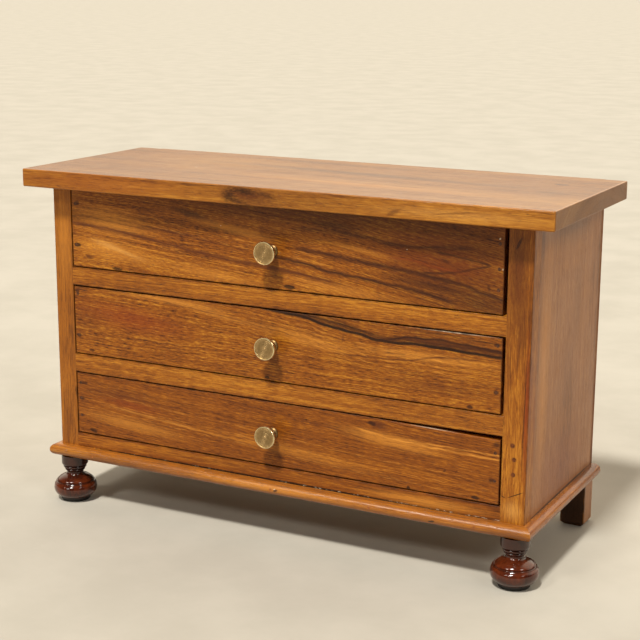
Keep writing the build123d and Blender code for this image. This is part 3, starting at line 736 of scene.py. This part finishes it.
def wood(
    name, tones, seed=0.0, slope=0.0, bend=0.0, spacing=3.6, waviness=6.0, contrast=0.8, bands=0.8,
    fibres=0.8, fleck_length=14.0, curl=0.2, pith=(0.0, -80.0), roughness=0.38, gleam=0.18, coat=0.1,
    top_coat=None, worn=0.4, dirt_and_gap_shade=0.0, end_stain="brown", flow=None, lines=(), spots=(), face_spots=(),
):
    """Finished wood for one board. Lengths in mm; slope and bend tilt the grain across the board."""
    low, high = box_of(name)
    size = high - low
    material, graph, shader = new_material(name + "_wood")
    place = place_in_mm(graph)
    parts = graph.split(place)
    axes = board_axes(size)
    along, across, through = (parts[axis] for axis in axes)

    layers = []
    push = lay_spots(graph, spots, along, across, layers)
    lay_lines(graph, lines, along, across, layers)
    if face_spots:
        face_layers = []
        lay_spots(graph, face_spots, parts[0], parts[2], face_layers)
        on_face = graph.fit(parts[1], low.y + 3.0, low.y + 0.6)
        layers += [(graph.times(cover, on_face), stain) for cover, stain in face_layers]
    leaning = graph.add(graph.times(along, slope), graph.times(graph.times(along, along), bend))
    if flow:
        heights = [height for _, height in flow]
        middle_height = sum(heights) / len(heights)
        followed = graph.minus(graph.curve(along, flow, min(heights), max(heights)), middle_height)
        leaning = graph.add(leaning, graph.times(followed, graph.fit(across, low[axes[1]], high[axes[1]])))
    straightened = graph.add(graph.minus(across, leaning), push)

    sawn = graph.node("ShaderNodeGroup", node_tree=SAWN_WOOD)
    light, middle, dark = tones
    for socket, value in (
        ("Along", along), ("Across", straightened), ("Through", through), ("Seed", seed),
        ("Light", light), ("Middle", middle), ("Dark", dark), ("Spacing", spacing),
        ("Waviness", waviness), ("Contrast", contrast), ("Bands", bands), ("Fibres", fibres),
        ("Fleck length", fleck_length), ("Curl", curl), ("Pith across", pith[0]), ("Pith through", pith[1]),
    ):
        graph.feed(sawn.inputs[socket], value)
    colour = sawn.outputs["Color"]

    # Worn arrises show paler, rubbed wood, or hold dirt and old polish; the dark arrises also paint in the
    # shade of the gaps between drawers, rails and stiles
    edge = graph.node("ShaderNodeGroup", node_tree=ARRIS)
    graph.feed(edge.inputs["Place"], place)
    edge.inputs["Middle"].default_value = (low + high) / 2
    edge.inputs["Half"].default_value = size / 2
    patchy = graph.fit(graph.noise(graph.stretch(*parts, 9.0, 9.0), 1.0, 3.0), 0.35, 0.65, 0.15, 1.0)
    near_arris = graph.times(graph.fit(edge.outputs[0], 1.5, 0.2), patchy)
    half_length = size[axes[0]] / 2
    from_middle = graph.minus(along, (low + high)[axes[0]] / 2)
    to_end = graph.minus(half_length, graph.math("ABSOLUTE", from_middle))

    for cover, stain in layers:
        colour = graph.mix(cover, colour, stain)
    colour = graph.mix(graph.times(near_arris, worn), colour, STAINS_AND_PAINTED_LIGHT["rubbed"])
    # darker arrises: dirt, and painted shade of the gaps between parts
    colour = graph.mix(graph.times(near_arris, dirt_and_gap_shade), colour, STAINS_AND_PAINTED_LIGHT["black"])
    colour = graph.mix(graph.fit(to_end, 0.7, 0.1, 0.0, 0.45), colour, STAINS_AND_PAINTED_LIGHT[end_stain])

    graph.feed(shader.inputs["Base Color"], colour)
    handled = graph.swing(graph.stretch(*parts, 34.0, 34.0), 3.0)
    gloss = graph.add(graph.fit(sawn.outputs["Tone"], 0.0, 1.0, roughness + 0.07, roughness - 0.03),
                      graph.times(handled, 0.16))
    graph.feed(shader.inputs["Roughness"], gloss)
    shader.inputs["Specular IOR Level"].default_value = gleam
    if top_coat is None:
        shader.inputs["Coat Weight"].default_value = coat
    else:
        coated = graph.fit(parts[2], high.z - 1.4, high.z - 0.2, coat, top_coat)
        graph.feed(shader.inputs["Coat Weight"], coated)
    shader.inputs["Coat Roughness"].default_value = 0.20
    wavy = graph.times(graph.swing(graph.stretch(*parts, 16.0, 9.0)), 1.2)
    give_relief(graph, shader, graph.add(sawn.outputs["Height"], wavy), 0.00022, 0.8)
    return material


# ---------------------------------------------------------------- turned feet, fittings, plugs


# Grooves of the turned feet: height above the floor, width of each rounded lip and depth, in mm
TURNED_GROOVES = ((18.0, 2.6, 0.9), (30.4, 1.2, 0.3))


def turned_wood(name):
    """Stained and polished: dark red-brown, black under the bun, grain upright."""
    material, graph, shader = new_material(name + "_polish")
    x, y, z = graph.split(place_in_mm(graph))
    grain = graph.swing(graph.stretch(z, x, y, 22.0, 1.6), 3.0, 0.6)
    cloud = graph.swing(graph.stretch(z, x, y, 14.0, 9.0))
    tone = graph.add(0.5, graph.times(grain, 0.4), graph.times(cloud, 0.8))
    colour = graph.mix(graph.fit(tone, 0.2, 0.85), rgb(42, 14, 7), rgb(98, 40, 15))
    shoulder = graph.fit(z, 15.0, 36.0, 0.0, 0.75)
    colour = graph.mix(shoulder, colour, rgb(36, 14, 7))
    ground = graph.fit(graph.add(z, graph.times(cloud, 2.0)), 4.8, 2.6)
    colour = graph.mix(ground, colour, rgb(14, 8, 6))
    relief = graph.times(graph.add(grain, graph.times(cloud, 2.0)), 0.05)
    for height, lip, depth in TURNED_GROOVES:
        away = graph.math("ABSOLUTE", graph.minus(z, height))
        # painted shade darkens each groove line
        colour = graph.mix(graph.fit(away, 0.7, 0.1, 0.0, 0.45), colour, rgb(24, 8, 4))
        relief = graph.minus(relief, graph.fit(away, lip, 0.0, 0.0, depth))
    graph.feed(shader.inputs["Base Color"], colour)
    dull = graph.add(graph.fit(ground, 0.0, 1.0, 0.12, 0.6), graph.times(cloud, 0.06))
    graph.feed(shader.inputs["Roughness"], dull)
    shader.inputs["Specular IOR Level"].default_value = 0.5
    shader.inputs["Coat Weight"].default_value = 0.2
    shader.inputs["Coat Roughness"].default_value = 0.05
    give_relief(graph, shader, relief, 1.0 / PER_METRE)
    return material


def aged_brass(name):
    """Brass gone olive and dull on the flat, still bright where fingers rub the rim, and the rim's pale
    colour also paints in its highlight.
    """
    low, high = box_of(name)
    middle = (low + high) / 2
    radius = (high.x - low.x) / 2
    material, graph, shader = new_material(name + "_brass")
    x, y, z = graph.split(place_in_mm(graph))
    from_x = graph.minus(x, middle.x)
    from_z = graph.minus(z, middle.z)
    reach = graph.math("SQRT", graph.add(graph.times(from_x, from_x), graph.times(from_z, from_z)))
    tarnish = graph.swing(graph.stretch(x, y, z, 3.0, 3.0, 3.0), 4.0, 0.6)
    turning = graph.swing(graph.join(graph.over(reach, 0.22), 0.0, 0.0), 2.0)
    tone = graph.add(0.5, graph.times(tarnish, 0.7), graph.times(turning, 0.8))
    colour = graph.mix(graph.fit(tone, 0.15, 0.9), rgb(146, 119, 79), rgb(214, 181, 130))
    hollow = graph.times(graph.fit(reach, 1.0, 3.5), graph.fit(reach, radius - 1.5, radius - 4.0))
    colour = graph.mix(graph.times(hollow, 0.35), colour, rgb(112, 90, 52))
    rim_rub_and_highlight = graph.fit(reach, radius - 1.7, radius - 0.6)
    # the bright rim: rubbed brass and a painted highlight
    colour = graph.mix(graph.times(rim_rub_and_highlight, 0.8), colour, rgb(240, 226, 180))
    # painted shade on the neck behind the disc
    shaded_behind_disc = graph.fit(y, low.y + 3.0, low.y + 5.5, 0.0, 0.55)
    colour = graph.mix(shaded_behind_disc, colour, rgb(96, 70, 36))
    graph.feed(shader.inputs["Base Color"], colour)
    shader.inputs["Metallic"].default_value = 1.0
    dull = graph.add(graph.fit(rim_rub_and_highlight, 0.0, 1.0, 0.46, 0.26), graph.times(tarnish, 0.25))
    graph.feed(shader.inputs["Roughness"], dull)
    give_relief(graph, shader, graph.add(turning, graph.times(tarnish, 1.5)), 0.00008, 0.8)
    return material


def dull_steel(name):
    """Nail and screw heads: dark, rust-freckled iron."""
    material, graph, shader = new_material(name)
    place = graph.node("ShaderNodeTexCoord").outputs["Object"]
    rust = graph.noise(place, 900.0, 4.0, 0.65)
    colour = graph.mix(graph.fit(rust, 0.42, 0.62), rgb(58, 36, 22), rgb(96, 52, 26))
    graph.feed(shader.inputs["Base Color"], colour)
    graph.feed(shader.inputs["Metallic"], graph.fit(rust, 0.42, 0.62, 0.5, 0.1))
    graph.feed(shader.inputs["Roughness"], graph.fit(rust, 0.3, 0.7, 0.42, 0.75))
    give_relief(graph, shader, rust, 0.0001, 0.6)
    return material


def end_grain_plug(name, light, dark):
    """Plug or peg seen on its end grain: fine speckle over broader clouds."""
    material, graph, shader = new_material(name)
    place = graph.node("ShaderNodeTexCoord").outputs["Object"]
    speckle = graph.noise(place, 1700.0, 3.0, 0.6)
    cloud = graph.noise(place, 420.0, 2.0)
    tone = graph.add(graph.times(speckle, 0.6), graph.times(cloud, 0.4))
    graph.feed(shader.inputs["Base Color"], graph.mix(graph.fit(tone, 0.35, 0.65), dark, light))
    graph.feed(shader.inputs["Roughness"], graph.fit(tone, 0.3, 0.7, 0.5, 0.4))
    shader.inputs["Specular IOR Level"].default_value = 0.2
    shader.inputs["Coat Weight"].default_value = 0.1
    shader.inputs["Coat Roughness"].default_value = 0.25
    give_relief(graph, shader, speckle, 0.0001, 0.5)
    return material


STEEL = dull_steel("dull_steel")
DARK_PLUG = end_grain_plug("dark_plug", rgb(118, 62, 26), rgb(66, 32, 14))
FILLED_PIN = end_grain_plug("wax_filled_pin", rgb(170, 100, 42), rgb(120, 64, 26))

SLOT_WOODS = {
    "walnut": dict(tones=GOLDEN),
    "figured_walnut": dict(tones=FIGURED),
    "secondary_wood": dict(
        tones=SECONDARY, contrast=1.1, bands=0.9, fibres=0.6, waviness=9.0, roughness=0.62, coat=0.0,
        worn=0.1, dirt_and_gap_shade=0.35,
    ),
}

for number, part in enumerate(frame["record"]["subparts"]):
    node, material_slot = part["node"], part["material_slot"]
    if node == "base_moulding_pins":
        dress(node, FILLED_PIN)
    elif material_slot == "steel":
        dress(node, STEEL)
    elif material_slot == "dark_plug":
        dress(node, DARK_PLUG)
    elif material_slot == "aged_brass":
        dress(node, aged_brass(node))
    elif material_slot == "turned_feet":
        dress(node, turned_wood(node))
    else:
        # A board without a seed of its own gets one from its place in the record
        settings = {"seed": 20.0 + 1.7 * number, **SLOT_WOODS[material_slot], **BOARDS.get(node, {})}
        dress(node, wood(node, **settings))


# ---------------------------------------------------------------- camera, floor and light


def make_camera():
    """Right of the chest's middle and above its top, looking down at the front."""
    data = bpy.data.cameras.new("camera")
    data.sensor_width = 36.0
    data.lens = 83.38
    camera = bpy.data.objects.new("camera", data)
    yaw, pitch, roll = (math.radians(angle) for angle in (27.387, 13.242, 0.301))
    turn = Matrix.Rotation(yaw, 4, "Z") @ Matrix.Rotation(math.pi / 2 - pitch, 4, "X")
    place = Matrix.Translation((0.6008, -1.1567, 0.4894))
    camera.matrix_world = place @ turn @ Matrix.Rotation(roll, 4, "Z")
    bpy.context.scene.collection.objects.link(camera)
    bpy.context.scene.camera = camera


def make_floor():
    """A pale floor that reaches 40 m each way."""
    half = 40.0
    mesh = bpy.data.meshes.new("floor")
    corners = [(-half, -half, 0), (half, -half, 0), (half, half, 0), (-half, half, 0)]
    mesh.from_pydata(corners, [], [(0, 1, 2, 3)])
    floor = bpy.data.objects.new("floor", mesh)
    bpy.context.scene.collection.objects.link(floor)
    material, graph, shader = new_material("pale_floor")
    place = graph.node("ShaderNodeTexCoord").outputs["Object"]
    cloud = graph.noise(place, 9.0, 6.0, 0.6)
    colour = graph.mix(graph.fit(cloud, 0.3, 0.7), rgb(173, 168, 157), rgb(181, 176, 165))
    graph.feed(shader.inputs["Base Color"], colour)
    shader.inputs["Roughness"].default_value = 0.8
    shader.inputs["Specular IOR Level"].default_value = 0.2
    mesh.materials.append(material)


def make_sun(name, azimuth, elevation, angle, energy, colour):
    """A large, far light. Azimuth is measured from the front (-Y) towards the right (+X), in degrees."""
    data = bpy.data.lights.new(name, "SUN")
    data.angle = math.radians(angle)
    data.energy = energy
    data.color = colour
    light = bpy.data.objects.new(name, data)
    around, above = math.radians(azimuth), math.radians(elevation)
    level = math.cos(above)
    toward = Vector((math.sin(around) * level, -math.cos(around) * level, math.sin(above)))
    light.rotation_mode = "QUATERNION"
    light.rotation_quaternion = toward.to_track_quat("Z", "Y")
    bpy.context.scene.collection.objects.link(light)


def make_world():
    """Lights the chest from a bright wall behind it, dim in front, and shows as a plain pale backdrop."""
    world = bpy.data.worlds.new("studio")
    world.use_nodes = True
    graph = Graph(world.node_tree)
    background = world.node_tree.nodes["Background"]
    _, toward_back, upward = graph.split(graph.node("ShaderNodeTexCoord").outputs["Generated"])
    dim, wall, backdrop = (0.035, 0.034, 0.033, 1), (1.60, 1.40, 1.10, 1), (0.86, 0.76, 0.58, 1)
    lit = graph.times(graph.fit(toward_back, -0.1, 0.5), graph.fit(upward, 0.10, 0.24))
    seen = graph.node("ShaderNodeLightPath").outputs["Is Camera Ray"]
    graph.feed(background.inputs["Color"], graph.mix(seen, graph.mix(lit, dim, wall), backdrop))
    background.inputs["Strength"].default_value = 1.0
    bpy.context.scene.world = world


make_camera()
make_floor()
make_world()
make_sun("key", azimuth=0, elevation=60, angle=7, energy=3.75, colour=(1, 0.96, 0.88))
make_sun("front", azimuth=-24, elevation=37, angle=10, energy=0.85, colour=(1, 0.95, 0.86))
make_sun("side", azimuth=68, elevation=38, angle=10, energy=0.55, colour=(1, 0.97, 0.92))
make_sun("glint", azimuth=-6, elevation=14, angle=5, energy=0.15, colour=(1, 0.97, 0.92))
bpy.context.scene.view_settings.view_transform = "Standard"
